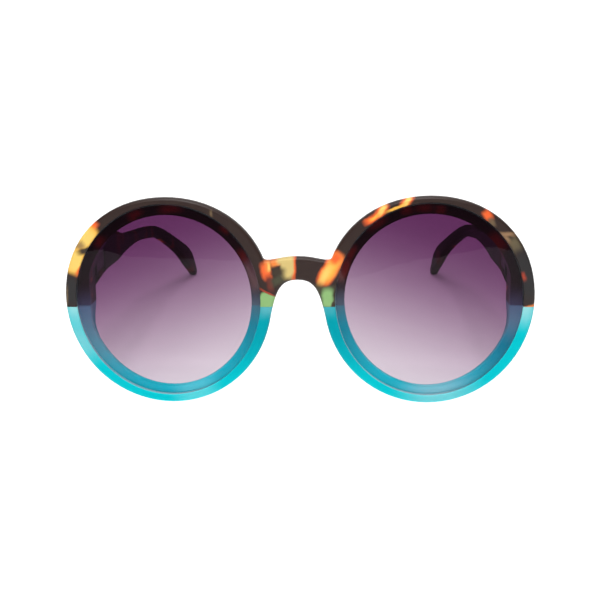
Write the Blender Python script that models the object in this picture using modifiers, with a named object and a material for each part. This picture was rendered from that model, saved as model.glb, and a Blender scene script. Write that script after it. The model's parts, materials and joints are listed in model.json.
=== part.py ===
"""Round oversize sunglasses, open, standing on their rims and temple tips.

Every piece is modelled in the front's own frame: X across the face, Y from the lenses to the
ears, Z up, with the origin on the front face midway between the rim centres. An empty then
leans that frame back until the temple tips touch the table. Lengths are in metres.
"""

import math

import bmesh
import bpy
from mathutils import Matrix, Vector
from mathutils.geometry import interpolate_bezier

# The ovals, each as its half width, its rise above the middle and its fall below it
RIM_OVAL = (0.0322, 0.0320, 0.0337)
LENS_OVAL = (0.0287, 0.0302, 0.0311)
OPENING_OVAL = (0.0259, 0.0266, 0.0287)

# The rims: two bands of laminated acetate
RIM_SPACING = 0.0806
RIM_DEPTH = 0.0042
RIM_FULLNESS_SHARE = 0.019
RIM_FRONT_ROUND = 0.0009
RIM_BACK_ROUND = 0.0015
RIM_INNER_ROUND = 0.0004
RIM_SEGMENTS = 80
ROUND_STEPS = 2

# The seam between the tortoise sheet above and the turquoise sheet below
SEAM_DROP = 0.0020
SEAM_GAP = 0.00004

# The lenses, let into the front of the rims on a shelf
LENS_THICKNESS = 0.0016
LENS_CROWN = 0.0005
LENS_CHAMFER = 0.0002
LENS_SETBACK = 0.0001
LENS_CLEARANCE = 0.0001
LENS_GLUE = 0.00005
LENS_RING_SHARES = (0.25, 0.6, 0.88)
RECESS_CHAMFER = 0.00015

# The bridge between the rims
BRIDGE_TOP = 0.0135
BRIDGE_SHOULDER_GAP = 0.0018
BRIDGE_SHOULDER_Z = 0.0124
BRIDGE_NOTCH_TOP = 0.0141
BRIDGE_LAP = 0.0023
BRIDGE_SEAT = 0.00005
BRIDGE_TOP_SHARE = 0.49
BRIDGE_SHOULDER_SHARE = 0.35
ARCH_TOP = 0.0064
ARCH_FOOT_ANGLE = math.radians(12)
ARCH_FOOT_HANDLE = 0.0099
ARCH_TOP_SHARE = 0.63
BRIDGE_STEPS = 7
BRIDGE_SIDE_STEPS = 8

# The end lugs, where the rims deepen towards the temples
LUG_DEPTH = 0.0095
LUG_WIDTH = 0.0074
LUG_TOP = math.radians(31)
LUG_BOTTOM = math.radians(-2)
LUG_TOP_FALL = math.radians(18)
LUG_BOTTOM_FALL = math.radians(25)

# The temples, as shares of their reach, drop, inward sweep, root height and root thickness
TEMPLE_LEDGE = 0.0002
TEMPLE_ROOT_Z = 0.0084
TEMPLE_REACH = 0.1290
TEMPLE_DROP = 0.0328
TEMPLE_SWEEP = 0.0121
TEMPLE_ROOT_HEIGHT = 0.0134
TEMPLE_ROOT_THICKNESS = 0.0036
TEMPLE_ROUND = 0.0011
TEMPLE_STATIONS = 30
TEMPLE_SHARES = (
    (0.00, 0.000, 0.00, 1.00, 1.00),
    (0.12, -0.029, 0.01, 0.88, 1.00),
    (0.25, 0.001, 0.03, 0.79, 0.98),
    (0.34, 0.037, 0.05, 0.50, 0.94),
    (0.48, 0.078, 0.09, 0.35, 0.90),
    (0.62, 0.147, 0.16, 0.36, 0.90),
    (0.72, 0.236, 0.33, 0.36, 0.92),
    (0.86, 0.527, 0.69, 0.44, 0.96),
    (0.95, 0.775, 0.90, 0.62, 0.98),
    (1.00, 1.000, 1.00, 0.28, 1.00),
)
TIP_ROUND_STEPS = 3
JOINT_GAP = 0.00015

# The five-knuckle hinges: three knuckles on the front, two on the temple
HINGE_Z = 0.0088
PIN_INSET = 0.0005
KNUCKLE_RADIUS = 0.0012
KNUCKLE_HEIGHT = 0.0014
KNUCKLE_GAP = 0.00006
KNUCKLE_SIDES = 20
FRONT_KNUCKLES = (0, 2, 4)
TEMPLE_KNUCKLES = (1, 3)
LEAF_THICKNESS = 0.0012
LEAF_OFFSET = 0.0001
LEAF_RECESS = 0.0001
LEAF_CLEARANCE = 0.0001
FRONT_LEAF_DEPTH = 0.0040
FRONT_FOOT_DEPTH = 0.0010
FRONT_FOOT_WIDTH = 0.0023
FRONT_FOOT_HEIGHT = 0.0056
TEMPLE_LEAF_LENGTH = 0.0108
TEMPLE_LEAF_HEIGHT = 0.0060
TEMPLE_TAIL_LENGTH = 0.0025
TEMPLE_TAIL_DEPTH = 0.0007
TEMPLE_TAIL_HEIGHT = 0.0026
NOTCH_CLEARANCE = 0.0002

# The hinge screws
SCREW_RADIUS = 0.0006
SCREW_CLEARANCE = 0.00005
SCREW_HEAD_RADIUS = 0.00105
SCREW_HEAD_HEIGHT = 0.0007
SCREW_SLOT_WIDTH = 0.0003
SCREW_SLOT_DEPTH = 0.0003
SCREW_STEPS = 16

# The core wires inside the temples
WIRE_RADIUS = 0.0007
WIRE_CLEARANCE = 0.0001
WIRE_SIDES = 8
WIRE_STATIONS = 22
WIRE_END_SHARE = 0.94

# The nose pads, glued behind the nasal side of the rims
PAD_TOP_ANGLE = math.radians(9)
PAD_BOTTOM_ANGLE = math.radians(-27)
PAD_WIDTH = 0.0036
PAD_END_WIDTH = 0.0014
PAD_DEPTH = 0.0046
PAD_END_DEPTH = 0.0008
PAD_LEAN = 0.0016
PAD_GLUE = 0.00005
PAD_STATIONS = 11
PAD_SECTION_STEPS = 8

OVERRUN = 0.0010
SIDES = (("left", -1), ("right", 1))

TORTOISE = (0.055, 0.040, 0.032, 1.0)
TURQUOISE = (0.0, 0.62, 0.66, 1.0)
LENS_TINT = (0.16, 0.08, 0.15, 1.0)
HINGE_METAL = (0.10, 0.095, 0.09, 1.0)
WIRE_METAL = (0.66, 0.62, 0.52, 1.0)


def lug_wall_x():
    """The lug's inner wall, which also bounds the opening."""
    return RIM_SPACING / 2 + RIM_OVAL[0] - LUG_WIDTH


def temple_inner_x():
    return lug_wall_x() + TEMPLE_LEDGE


def leaf_inner_x():
    return temple_inner_x() + PIN_INSET - LEAF_OFFSET


def pin_place():
    """The middle of the right-hand hinge pin."""
    return Vector((temple_inner_x() + PIN_INSET, temple_front() + KNUCKLE_RADIUS, HINGE_Z))


def temple_front():
    return LUG_DEPTH + JOINT_GAP


def shelf_depth():
    return LENS_SETBACK + LENS_THICKNESS + LENS_GLUE


def hinge_height():
    knuckles = len(FRONT_KNUCKLES) + len(TEMPLE_KNUCKLES)
    return knuckles * KNUCKLE_HEIGHT + (knuckles - 1) * KNUCKLE_GAP


def knuckle_bottom(index):
    return HINGE_Z - hinge_height() / 2 + index * (KNUCKLE_HEIGHT + KNUCKLE_GAP)


def smooth_step(share):
    share = min(max(share, 0), 1)
    return share * share * (3 - 2 * share)


def clear_scene():
    for obj in list(bpy.data.objects):
        bpy.data.objects.remove(obj, do_unlink=True)


def make_collection(name):
    collection = bpy.data.collections.new(name)
    bpy.context.scene.collection.children.link(collection)
    return collection


def make_material(name, colour, roughness, metallic=0.0, alpha=1.0):
    material = bpy.data.materials.new(name)
    material.use_nodes = True
    shader = material.node_tree.nodes["Principled BSDF"]
    shader.inputs["Base Color"].default_value = colour
    shader.inputs["Roughness"].default_value = roughness
    shader.inputs["Metallic"].default_value = metallic
    shader.inputs["Alpha"].default_value = alpha
    material.diffuse_color = (*colour[:3], alpha)
    return material


def link_mesh(name, shape, collection):
    """Turns a bmesh into an object with its faces pointing out."""
    bmesh.ops.recalc_face_normals(shape, faces=shape.faces)
    mesh = bpy.data.meshes.new(name)
    shape.to_mesh(mesh)
    shape.free()
    obj = bpy.data.objects.new(name, mesh)
    collection.objects.link(obj)
    return obj


def loft(name, rings, collection, closed=False):
    """Skins equally long rings of points. A closed loft joins its last ring to its first."""
    shape = bmesh.new()
    rows = [[shape.verts.new(point) for point in ring] for ring in rings]
    pairs = list(zip(rows, rows[1:]))
    if closed:
        pairs.append((rows[-1], rows[0]))
    for first, second in pairs:
        for i in range(len(first)):
            j = (i + 1) % len(first)
            shape.faces.new((first[i], first[j], second[j], second[i]))
    if not closed:
        shape.faces.new(reversed(rows[0]))
        shape.faces.new(rows[-1])
    return link_mesh(name, shape, collection)


def box(name, low, high, collection):
    shape = bmesh.new()
    bmesh.ops.create_cube(shape, size=1)
    size = Vector(high) - Vector(low)
    middle = (Vector(high) + Vector(low)) / 2
    bmesh.ops.transform(shape, matrix=Matrix.Translation(middle) @ Matrix.Diagonal((*size, 1)), verts=shape.verts)
    return link_mesh(name, shape, collection)


def cylinder(name, radius, bottom, top, place, collection):
    """An upright cylinder whose axis runs through a place."""
    shape = bmesh.new()
    bmesh.ops.create_cone(
        shape, cap_ends=True, segments=KNUCKLE_SIDES, radius1=radius, radius2=radius, depth=top - bottom
    )
    middle = Matrix.Translation((place.x, place.y, (top + bottom) / 2))
    bmesh.ops.transform(shape, matrix=middle, verts=shape.verts)
    return link_mesh(name, shape, collection)


def bake(obj):
    """Puts the modifiers' result in the mesh, so that the piece can be copied and mirrored."""
    graph = bpy.context.evaluated_depsgraph_get()
    mesh = bpy.data.meshes.new_from_object(obj.evaluated_get(graph))
    obj.modifiers.clear()
    obj.data = mesh


def combine(obj, others, operation):
    """Joins helpers to a piece or cuts them out of it, one after the other, and removes them."""
    for other in others:
        modifier = obj.modifiers.new(other.name, "BOOLEAN")
        modifier.operation = operation
        modifier.object = other
    bake(obj)
    for other in others:
        bpy.data.objects.remove(other, do_unlink=True)


def mirrored(obj, name, collection):
    """A copy of a right-hand piece for the left side, with its own mesh."""
    shape = bmesh.new()
    shape.from_mesh(obj.data)
    bmesh.ops.scale(shape, vec=(-1, 1, 1), verts=shape.verts)
    return link_mesh(name, shape, collection)


def quarter_round(radius):
    """Inset and depth from a square corner, from the front face round to the wall."""
    turns = [math.pi / 2 * step / ROUND_STEPS for step in range(ROUND_STEPS + 1)]
    return [(radius * (1 - math.sin(turn)), radius * (1 - math.cos(turn))) for turn in turns]


def edge_rows():
    """Inset, depth and lug share of the outer edge that the rims and the bridge have alike."""
    front = [(inset, depth, 0) for inset, depth in quarter_round(RIM_FRONT_ROUND)]
    back = [(inset, RIM_DEPTH - depth, 1) for inset, depth in quarter_round(RIM_BACK_ROUND)]
    return front + back[::-1]


def rim_rows():
    """The rim's section as rows of oval, inset, depth and lug share."""
    rows = [(RIM_OVAL, inset, depth, lug) for inset, depth, lug in edge_rows()]
    rows.append((OPENING_OVAL, -RIM_INNER_ROUND, RIM_DEPTH, 1))
    rows.append((OPENING_OVAL, 0, RIM_DEPTH - RIM_INNER_ROUND, 1))
    rows.append((OPENING_OVAL, 0, shelf_depth(), 0))
    rows.append((LENS_OVAL, -LENS_CLEARANCE, shelf_depth(), 0))
    rows.append((LENS_OVAL, -LENS_CLEARANCE, RECESS_CHAMFER, 0))
    rows.append((LENS_OVAL, -LENS_CLEARANCE - RECESS_CHAMFER, 0, 0))
    return rows


def lug_share(angle):
    """How much of the lug's extra depth the rim has at an angle above its temple side."""
    above = (angle - LUG_TOP) / LUG_TOP_FALL
    below = (LUG_BOTTOM - angle) / LUG_BOTTOM_FALL
    return 1 - smooth_step(max(above, below))


def oval_point(oval, inset, angle, depth):
    """A point on an oval round the right-hand rim's centre. Angle 0 is the temple side."""
    half_width, rise, fall = [size - inset for size in oval]
    x, z = half_width * math.cos(angle), fall * math.sin(angle)
    if z > 0:
        z = rise * math.sin(angle)
        if oval is RIM_OVAL:
            fuller = 1 + RIM_FULLNESS_SHARE * math.sin(2 * angle) ** 2
            x, z = x * fuller, z * fuller
    return Vector((RIM_SPACING / 2 + x, depth, z))


def rim_angles(segments):
    """Angles from minus a half turn to a half turn."""
    return [math.pi * (2 * step / segments - 1) for step in range(segments)]


def make_rim(name, collection):
    rings = []
    for oval, inset, depth, lug in rim_rows():
        ring = []
        for angle in rim_angles(RIM_SEGMENTS):
            swell = lug * lug_share(angle)
            point = oval_point(oval, inset, angle, depth + swell * (LUG_DEPTH - RIM_DEPTH))
            if oval is OPENING_OVAL:
                point.x -= lug_share(angle) * max(point.x + inset - lug_wall_x(), 0)
            ring.append(point)
        rings.append(ring)
    return loft(name, rings, collection, closed=True)


def shifted(points, distance):
    """Moves a line of points in the XZ plane to the right of its direction of travel."""
    moved = []
    for i, point in enumerate(points):
        along = points[min(i + 1, len(points) - 1)] - points[max(i - 1, 0)]
        moved.append(point + Vector((along.z, 0, -along.x)).normalized() * distance)
    return moved


def mirror_line(points):
    """A line from the middle outwards, continued to the other side: left end first."""
    left = [Vector((-point.x, point.y, point.z)) for point in points]
    return left[:0:-1] + points


def nasal_angle(inset, height):
    """The angle at which the right-hand rim's nasal side has a height above the middle."""
    angle = math.pi
    for _ in range(8):
        angle -= (height - oval_point(RIM_OVAL, inset, angle, 0).z) / RIM_OVAL[1]
    return angle


def nasal_point(inset, height):
    return oval_point(RIM_OVAL, inset, nasal_angle(inset, height), 0)


def bridge_top_line():
    """The top edge, left to right: a low crown, then a fillet into each rim."""
    notch = nasal_point(BRIDGE_SEAT, BRIDGE_NOTCH_TOP)
    corner = nasal_point(BRIDGE_SEAT, BRIDGE_SHOULDER_Z)
    crown = Vector((0, 0, BRIDGE_TOP))
    shoulder = corner - Vector((BRIDGE_SHOULDER_GAP, 0, 0))
    from_crown = crown + Vector((shoulder.x * BRIDGE_TOP_SHARE, 0, 0))
    to_shoulder = shoulder.lerp(crown, BRIDGE_SHOULDER_SHARE)
    line = interpolate_bezier(crown, from_crown, to_shoulder, shoulder, BRIDGE_STEPS)
    fillet = interpolate_bezier(shoulder, corner, corner, notch, BRIDGE_STEPS)
    return mirror_line(line + fillet[1:])


def bridge_arch_line():
    """The nose arch, right to left: up from the rim's nasal side and over."""
    angle = math.pi + ARCH_FOOT_ANGLE
    foot = oval_point(RIM_OVAL, BRIDGE_SEAT, angle, 0)
    half_width, _, fall = RIM_OVAL
    rise = Vector((half_width * math.sin(angle), 0, -fall * math.cos(angle))).normalized()
    top = Vector((0, 0, ARCH_TOP))
    from_top = top + Vector((foot.x * ARCH_TOP_SHARE, 0, 0))
    line = interpolate_bezier(top, from_top, foot + rise * ARCH_FOOT_HANDLE, foot, 2 * BRIDGE_STEPS)
    return mirror_line(line)[::-1]


def bridge_side_line():
    """The end inside the right-hand rim's band, top to bottom."""
    first = nasal_angle(BRIDGE_LAP, BRIDGE_NOTCH_TOP)
    last = math.pi + ARCH_FOOT_ANGLE
    steps = [step / BRIDGE_SIDE_STEPS for step in range(BRIDGE_SIDE_STEPS + 1)]
    return [oval_point(RIM_OVAL, BRIDGE_LAP, first + (last - first) * share, 0) for share in steps]


def make_bridge(collection):
    """A plate between the rims whose long edges have the rims' own rounding."""
    side = bridge_side_line()
    other_side = [Vector((-point.x, point.y, point.z)) for point in side[::-1]]
    rings = []
    for inset, depth, _ in edge_rows():
        outline = shifted(bridge_top_line(), inset) + side
        outline += shifted(bridge_arch_line(), inset) + other_side
        rings.append([point + Vector((0, depth, 0)) for point in outline])
    return loft("bridge", rings, collection)


def cut_at_height(obj, name, height, keep_above, side, collection):
    """A copy of a piece above or below a height, on one side of the middle or on both."""
    shape = bmesh.new()
    shape.from_mesh(obj.data)
    everything = list(shape.verts) + list(shape.edges) + list(shape.faces)
    bmesh.ops.bisect_plane(
        shape,
        geom=everything,
        plane_co=(0, 0, height),
        plane_no=(0, 0, 1),
        clear_inner=keep_above,
        clear_outer=not keep_above,
    )
    if side:
        far = [vert for vert in shape.verts if vert.co.x * side < 0]
        bmesh.ops.delete(shape, geom=far, context="VERTS")
    rim = [edge for edge in shape.edges if edge.is_boundary]
    bmesh.ops.holes_fill(shape, edges=rim, sides=0)
    return link_mesh(name, shape, collection)


def front_leaf_cutters(clearance, collection):
    """The buried plate and foot of the right-hand front leaf, grown by a clearance."""
    inner = leaf_inner_x()
    low = LUG_DEPTH - FRONT_LEAF_DEPTH
    tall = hinge_height() / 2 + clearance
    foot = FRONT_FOOT_HEIGHT / 2 + clearance
    back = LUG_DEPTH + (OVERRUN if clearance else -LEAF_CLEARANCE)
    plate = box(
        "leaf_plate",
        (inner - clearance, low - clearance, HINGE_Z - tall),
        (inner + LEAF_THICKNESS + clearance, back, HINGE_Z + tall),
        collection,
    )
    anchor = box(
        "leaf_foot",
        (inner - clearance, low - clearance, HINGE_Z - foot),
        (inner + FRONT_FOOT_WIDTH + clearance, low + FRONT_FOOT_DEPTH + clearance, HINGE_Z + foot),
        collection,
    )
    return [plate, anchor]


def temple_leaf_cutters(clearance, collection):
    """The plate and tail of the right-hand temple leaf, grown by a clearance."""
    inner = temple_inner_x() + (-OVERRUN if clearance else LEAF_RECESS)
    outer = leaf_inner_x() + LEAF_THICKNESS + clearance
    front = pin_place().y + KNUCKLE_RADIUS + NOTCH_CLEARANCE
    back = front + TEMPLE_LEAF_LENGTH
    tall = TEMPLE_LEAF_HEIGHT / 2 + clearance
    tail = TEMPLE_TAIL_HEIGHT / 2 + clearance
    plate = box(
        "leaf_plate",
        (inner, front - clearance, HINGE_Z - tall),
        (outer, back + clearance, HINGE_Z + tall),
        collection,
    )
    anchor = box(
        "leaf_tail",
        (inner, back - TEMPLE_TAIL_LENGTH - clearance, HINGE_Z - tail),
        (outer + TEMPLE_TAIL_DEPTH, back + clearance, HINGE_Z + tail),
        collection,
    )
    return [plate, anchor]


def make_leaf(name, knuckles, plates, reach, collection):
    """A hinge leaf: its plates, then a barrel and a strap for each knuckle, then the pin hole."""
    pin = pin_place()
    inner = leaf_inner_x()
    pieces = plates[1:]
    for index in knuckles:
        low = knuckle_bottom(index)
        high = low + KNUCKLE_HEIGHT
        pieces.append(cylinder("barrel", KNUCKLE_RADIUS, low, high, pin, collection))
        near, far = sorted((pin.y, reach))
        pieces.append(box("strap", (inner, near, low), (inner + LEAF_THICKNESS, far, high), collection))
    leaf = plates[0]
    leaf.name = name
    combine(leaf, pieces, "UNION")
    half = hinge_height() / 2 + OVERRUN
    hole = cylinder("hole", SCREW_RADIUS + SCREW_CLEARANCE, HINGE_Z - half, HINGE_Z + half, pin, collection)
    combine(leaf, [hole], "DIFFERENCE")
    return leaf


def make_screw(collection):
    """A slotted hinge screw: a turned profile, top to bottom down its outer side."""
    top = HINGE_Z + hinge_height() / 2
    bottom = HINGE_Z - hinge_height() / 2
    seat = top + KNUCKLE_GAP
    profile = (
        (0, seat + SCREW_HEAD_HEIGHT),
        (SCREW_HEAD_RADIUS, seat + SCREW_HEAD_HEIGHT),
        (SCREW_HEAD_RADIUS, seat),
        (SCREW_RADIUS, seat),
        (SCREW_RADIUS, bottom),
        (0, bottom),
    )
    mesh = bpy.data.meshes.new("screw")
    points = [(radius, 0, height) for radius, height in profile]
    mesh.from_pydata(points, [(i, i + 1) for i in range(len(points) - 1)], [])
    screw = bpy.data.objects.new("screw", mesh)
    collection.objects.link(screw)
    turn = screw.modifiers.new("turn", "SCREW")
    turn.steps = SCREW_STEPS
    turn.render_steps = SCREW_STEPS
    turn.use_merge_vertices = True
    turn.merge_threshold = SCREW_CLEARANCE / 100
    bake(screw)
    pin = pin_place()
    screw.data.transform(Matrix.Translation((pin.x, pin.y, 0)))
    half = SCREW_HEAD_RADIUS + OVERRUN
    slot_top = seat + SCREW_HEAD_HEIGHT
    slot = box(
        "slot",
        (pin.x - SCREW_SLOT_WIDTH / 2, pin.y - half, slot_top - SCREW_SLOT_DEPTH),
        (pin.x + SCREW_SLOT_WIDTH / 2, pin.y + half, slot_top + OVERRUN),
        collection,
    )
    combine(screw, [slot], "DIFFERENCE")
    return screw


def temple_row(share):
    """The temple's row of shares at a share of the path, on a smooth curve through the table."""
    last = len(TEMPLE_SHARES) - 1
    place = share * last
    i = min(int(place), last - 1)
    t = place - i
    rows = [TEMPLE_SHARES[min(max(k, 0), last)] for k in (i - 1, i, i + 1, i + 2)]
    if i == 0:
        rows[0] = [2 * a - b for a, b in zip(rows[1], rows[2])]
    if i == last - 1:
        rows[3] = [2 * a - b for a, b in zip(rows[2], rows[1])]
    values = []
    for a, b, c, d in zip(*rows):
        bend = 2 * a - 5 * b + 4 * c - d
        twist = 3 * b - 3 * c + d - a
        values.append((2 * b + (c - a) * t + bend * t * t + twist * t * t * t) / 2)
    return values


def temple_place(share):
    """The middle of the right-hand temple's section at a share of its path."""
    reach, drop, sweep, _, thick = temple_row(share)
    x = temple_inner_x() - sweep * TEMPLE_SWEEP + thick * TEMPLE_ROOT_THICKNESS / 2
    return Vector((x, temple_front() + reach * TEMPLE_REACH, TEMPLE_ROOT_Z - drop * TEMPLE_DROP))


def temple_direction(share):
    step = 1 / (TEMPLE_STATIONS * len(TEMPLE_SHARES))
    return (temple_place(min(share + step, 1)) - temple_place(max(share - step, 0))).normalized()


def rounded_section(thickness, height, across, up):
    """Offsets round a rectangle whose corners are arcs, limited by its own wall."""
    radius = min(TEMPLE_ROUND, thickness / 2.2, height / 2.2)
    points = []
    for quarter, (sign_x, sign_z) in enumerate(((1, 1), (-1, 1), (-1, -1), (1, -1))):
        for step in range(ROUND_STEPS + 1):
            turn = math.pi / 2 * (quarter + step / ROUND_STEPS)
            x = sign_x * (thickness / 2 - radius) + radius * math.cos(turn)
            z = sign_z * (height / 2 - radius) + radius * math.sin(turn)
            points.append(across * x + up * z)
    return points


def make_temple(collection):
    """The right-hand temple: a tall root that narrows to a slim arm, then drops behind the ear."""
    rings = []
    across = Vector((1, 0, 0))
    for step in range(TEMPLE_STATIONS + 1):
        share = step / TEMPLE_STATIONS
        along = temple_direction(share)
        up = across.cross(Vector((0, along.y, along.z))).normalized() if step else Vector((0, 0, 1))
        _, _, _, tall, thick = temple_row(share)
        section = rounded_section(thick * TEMPLE_ROOT_THICKNESS, tall * TEMPLE_ROOT_HEIGHT, across, up)
        rings.append([temple_place(share) + offset for offset in section])
    tip = temple_place(1)
    tip_round = temple_row(1)[3] * TEMPLE_ROOT_HEIGHT / 2
    end = [point - tip for point in rings[-1]]
    for step in range(1, TIP_ROUND_STEPS + 1):
        turn = math.pi / 2 * step / (TIP_ROUND_STEPS + 0.5)
        ahead = along * tip_round * math.sin(turn)
        rings.append([tip + ahead + offset * math.cos(turn) for offset in end])
    return loft("temple_right", rings, collection)


def wire_shares():
    """Path shares of the core wire, from the hinge leaf's tail to near the tip."""
    tail = pin_place().y + KNUCKLE_RADIUS + NOTCH_CLEARANCE + TEMPLE_LEAF_LENGTH + LEAF_CLEARANCE
    before, first = 0, 1
    while first - before > LEAF_CLEARANCE:
        middle = (before + first) / 2
        before, first = (middle, first) if temple_place(middle).y < tail else (before, middle)
    return [first + (WIRE_END_SHARE - first) * step / WIRE_STATIONS for step in range(WIRE_STATIONS + 1)]


def make_wire(name, radius, overrun, collection):
    """A round wire along the middle of the right-hand temple, longer by an overrun at each end."""
    across = Vector((1, 0, 0))
    rings = []
    shares = wire_shares()
    for share in shares:
        along = temple_direction(share)
        up = across.cross(along).normalized()
        side = along.cross(up)
        ring = []
        for step in range(WIRE_SIDES):
            turn = 2 * math.pi * step / WIRE_SIDES
            ring.append(temple_place(share) + (side * math.cos(turn) + up * math.sin(turn)) * radius)
        rings.append(ring)
    if overrun:
        first, last = temple_direction(shares[0]) * overrun, temple_direction(shares[-1]) * overrun
        rings.insert(0, [point - first for point in rings[0]])
        rings.append([point + last for point in rings[-1]])
    return loft(name, rings, collection)


def cut_temple(temple, collection):
    """The notch for the knuckles, the leaf's pocket and the core wire's channel."""
    pin = pin_place()
    reach = KNUCKLE_RADIUS + NOTCH_CLEARANCE
    low = HINGE_Z - hinge_height() / 2 - NOTCH_CLEARANCE
    high = HINGE_Z + hinge_height() / 2 + SCREW_HEAD_HEIGHT + NOTCH_CLEARANCE
    notch = box(
        "notch",
        (temple_inner_x() - OVERRUN, temple_front() - OVERRUN, low),
        (pin.x + reach, pin.y + reach, high),
        collection,
    )
    channel = make_wire("channel", WIRE_RADIUS + WIRE_CLEARANCE, LEAF_CLEARANCE, collection)
    pocket = temple_leaf_cutters(LEAF_CLEARANCE, collection)
    combine(temple, [notch, *pocket, channel], "DIFFERENCE")


def make_lens(name, collection):
    """A crowned lens with a chamfered edge, from the middle of its front to that of its back."""
    back = LENS_SETBACK + LENS_THICKNESS

    def ring(share, inset, depth):
        lift = LENS_CROWN * (1 - share * share)
        oval = [size * share for size in LENS_OVAL]
        return [oval_point(oval, inset, angle, depth - lift) for angle in rim_angles(RIM_SEGMENTS)]

    rings = [ring(share, 0, LENS_SETBACK) for share in LENS_RING_SHARES]
    rings.append(ring(1, LENS_CHAMFER, LENS_SETBACK))
    rings.append(ring(1, 0, LENS_SETBACK + LENS_CHAMFER))
    rings.append(ring(1, 0, back))
    rings += [ring(share, 0, back) for share in LENS_RING_SHARES[::-1]]
    return loft(name, rings, collection)


def make_nose_pad(collection):
    """A crescent pad along the right-hand rim's nasal side that leans off the nose."""
    rounds = RIM_INNER_ROUND - RIM_BACK_ROUND
    between = [(rim + hole + rounds) / 2 for rim, hole in zip(RIM_OVAL, OPENING_OVAL)]
    seat = RIM_DEPTH + PAD_GLUE
    rings = []
    for station in range(PAD_STATIONS + 1):
        share = station / PAD_STATIONS
        angle = math.pi - (PAD_TOP_ANGLE + (PAD_BOTTOM_ANGLE - PAD_TOP_ANGLE) * share)
        middle = oval_point(between, 0, angle, seat)
        outward = Vector((math.cos(angle), 0, math.sin(angle)))
        swell = math.sin(math.pi * share) ** 0.7
        width = PAD_END_WIDTH + (PAD_WIDTH - PAD_END_WIDTH) * swell
        depth = PAD_END_DEPTH + (PAD_DEPTH - PAD_END_DEPTH) * swell
        lean = PAD_LEAN * swell
        ring = []
        for step in range(PAD_SECTION_STEPS + 1):
            turn = math.pi * step / PAD_SECTION_STEPS
            rise = math.sin(turn)
            sideways = width / 2 * math.cos(turn) - lean * rise
            ring.append(middle + outward * sideways + Vector((0, depth * rise, 0)))
        rings.append(ring)
    return loft("nose_pad_right", rings, collection)


def make_front(collection):
    """The front's upper sheet and its two lower crescents, cut from one blank at the seam."""
    blank = make_rim("blank", collection)
    other = mirrored(blank, "other_rim", collection)
    combine(blank, [other, make_bridge(collection)], "UNION")
    seam = -SEAM_DROP
    upper = cut_at_height(blank, "front_upper", seam + SEAM_GAP / 2, True, 0, collection)
    lower = {}
    for name, side in SIDES:
        piece = cut_at_height(blank, "front_lower_" + name, seam - SEAM_GAP / 2, False, side, collection)
        lower[name] = piece
    bpy.data.objects.remove(blank, do_unlink=True)
    pockets = front_leaf_cutters(LEAF_CLEARANCE, collection)
    pockets += [mirrored(pocket, "pocket", collection) for pocket in pockets]
    combine(upper, pockets, "DIFFERENCE")
    return upper, lower


def make_right_side(collection):
    """Each right-hand piece by its name without a side."""
    temple = make_temple(collection)
    cut_temple(temple, collection)
    front_plates = front_leaf_cutters(0, collection)
    front_reach = LUG_DEPTH - FRONT_LEAF_DEPTH
    temple_plates = temple_leaf_cutters(0, collection)
    temple_reach = pin_place().y + KNUCKLE_RADIUS + NOTCH_CLEARANCE + TEMPLE_TAIL_LENGTH
    return {
        "temple": temple,
        "front_hinge": make_leaf("front_leaf", FRONT_KNUCKLES, front_plates, front_reach, collection),
        "temple_hinge": make_leaf("temple_leaf", TEMPLE_KNUCKLES, temple_plates, temple_reach, collection),
        "hinge_screw": make_screw(collection),
        "core_wire": make_wire("core", WIRE_RADIUS, 0, collection),
        "lens": make_lens("lens", collection),
        "nose_pad": make_nose_pad(collection),
    }


def make_empty(name, place, parent, collection):
    empty = bpy.data.objects.new(name, None)
    empty.location = place
    empty.parent = parent
    collection.objects.link(empty)
    return empty


def resting_lean(points):
    """The angle that brings the temple tips level with the foot of the rims."""
    middle = max(point.y for point in points) / 2
    lean = 0
    for _ in range(5):
        turn = Matrix.Rotation(-lean, 3, "X")
        placed = [(turn @ point, point) for point in points]
        front = min((pair for pair in placed if pair[1].y < middle), key=lambda pair: pair[0].z)[1]
        back = min((pair for pair in placed if pair[1].y >= middle), key=lambda pair: pair[0].z)[1]
        lean = math.atan2(back.z - front.z, back.y - front.y)
    return lean


def stand_on_table(frame, objects):
    """Leans and lifts the front's frame so that the part stands centred on its origin."""
    points = [vert.co.copy() for obj in objects for vert in obj.data.vertices]
    lean = resting_lean(points)
    turned = [Matrix.Rotation(-lean, 3, "X") @ point for point in points]
    low_y, high_y = min(point.y for point in turned), max(point.y for point in turned)
    frame.rotation_euler = (-lean, 0, 0)
    frame.location = (0, -(low_y + high_y) / 2, -min(point.z for point in turned))


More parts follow.
